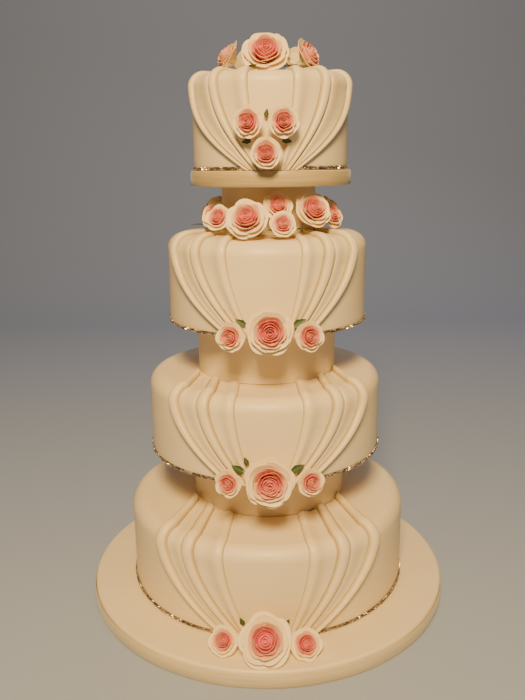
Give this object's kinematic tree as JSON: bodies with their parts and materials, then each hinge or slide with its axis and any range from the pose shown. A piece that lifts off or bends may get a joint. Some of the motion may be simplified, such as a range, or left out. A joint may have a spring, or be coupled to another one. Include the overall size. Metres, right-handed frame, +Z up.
{
  "type": "tiered wedding cake",
  "caption": "Tiered wedding cake on plain spacers with draped ivory icing, crystal edging and sugar roses, on an iced round base board.",
  "frame": {"origin": "middle of the underside of the base board", "axes": "+Z up through the tiers, -Y towards the decorated front"},
  "size_m": [0.4064, 0.405, 0.6024],
  "materials": {
    "ivory_icing": "satin ivory sugarpaste icing",
    "satin_ribbon": "ivory satin ribbon",
    "sugar_petals": "matte cream sugar petals with a coral blush at the middle",
    "crystal_trim": "faceted clear stones on a thin edging"
  },
  "bodies": {
    "root": {"base_board": "ivory_icing", "base_board_ribbon": "satin_ribbon", "dome_rose_back": "sugar_petals", "dome_rose_back_right": "sugar_petals", "dome_rose_crown": "sugar_petals", "dome_rose_front": "sugar_petals", "dome_rose_left": "sugar_petals", "dome_rose_right": "sugar_petals", "ring_rose_back_left": "sugar_petals", "ring_rose_back_mid_left": "sugar_petals", "ring_rose_back_mid_right": "sugar_petals", "ring_rose_back_right": "sugar_petals", "ring_rose_far_left": "sugar_petals", "ring_rose_far_right": "sugar_petals", "ring_rose_front_left": "sugar_petals", "ring_rose_front_right": "sugar_petals", "ring_rose_left": "sugar_petals", "ring_rose_lower": "sugar_petals", "ring_rose_upper": "sugar_petals", "spacer_2": "ivory_icing", "spacer_3": "ivory_icing", "spacer_4": "ivory_icing", "tier_1": "ivory_icing", "tier_1_crystal_trim": "crystal_trim", "tier_1_drape_left_inner": "ivory_icing", "tier_1_drape_left_outer": "ivory_icing", "tier_1_drape_right_inner": "ivory_icing", "tier_1_drape_right_outer": "ivory_icing", "tier_1_rose_left": "sugar_petals", "tier_1_rose_middle": "sugar_petals", "tier_1_rose_right": "sugar_petals", "tier_2": "ivory_icing", "tier_2_crystal_trim": "crystal_trim", "tier_2_drape_left_inner": "ivory_icing", "tier_2_drape_left_outer": "ivory_icing", "tier_2_drape_right_inner": "ivory_icing", "tier_2_drape_right_outer": "ivory_icing", "tier_2_rose_left": "sugar_petals", "tier_2_rose_middle": "sugar_petals", "tier_2_rose_right": "sugar_petals", "tier_3": "ivory_icing", "tier_3_crystal_trim": "crystal_trim", "tier_3_drape_left_inner": "ivory_icing", "tier_3_drape_left_outer": "ivory_icing", "tier_3_drape_right_inner": "ivory_icing", "tier_3_drape_right_outer": "ivory_icing", "tier_3_rose_left": "sugar_petals", "tier_3_rose_middle": "sugar_petals", "tier_3_rose_right": "sugar_petals", "tier_4": "ivory_icing", "tier_4_crystal_trim": "crystal_trim", "tier_4_drape_left_inner": "ivory_icing", "tier_4_drape_left_outer": "ivory_icing", "tier_4_drape_right_inner": "ivory_icing", "tier_4_drape_right_outer": "ivory_icing", "tier_4_rose_left": "sugar_petals", "tier_4_rose_middle": "sugar_petals", "tier_4_rose_right": "sugar_petals", "top_board": "ivory_icing", "top_board_ribbon": "satin_ribbon"}
  },
  "joints": []
}
